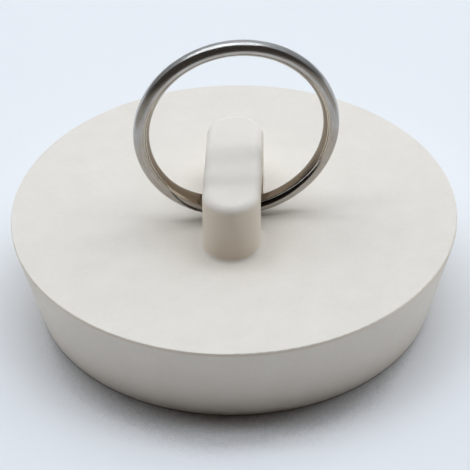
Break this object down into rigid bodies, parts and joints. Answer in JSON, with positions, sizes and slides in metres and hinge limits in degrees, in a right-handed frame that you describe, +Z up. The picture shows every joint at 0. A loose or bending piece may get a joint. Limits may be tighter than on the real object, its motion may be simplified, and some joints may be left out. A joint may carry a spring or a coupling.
{
  "type": "drain stopper",
  "caption": "Tapered rubber drain plug, hollow underneath, with an upright lug on top and a steel split ring that swings in the lug's eye for pulling the plug or fixing a chain.",
  "frame": {"origin": "middle of the plane that the plug's foot stands on", "axes": "+Z up along the plug's taper, towards the ring; +Y along the lug, away from the picture's camera; +X along the lug's eye, to the right in the picture"},
  "size_m": [0.0444, 0.0444, 0.0302],
  "materials": {
    "white_rubber": "matte moulded rubber, warm off-white, with a faint mould grain",
    "plated_steel": "bright nickel plate over steel spring wire, with fine drawing lines"
  },
  "bodies": {
    "plug": {"rubber_plug": "white_rubber"},
    "ring": {"split_ring": "plated_steel"}
  },
  "joints": [
    {"name": "ring_swing", "type": "hinge", "parent": "plug", "child": "ring", "pos_m": [0.00046, -0.00043, 0.01066], "axis": [0.9867, 0.1623, 0], "range_deg": [-88, 91.5]}
  ]
}
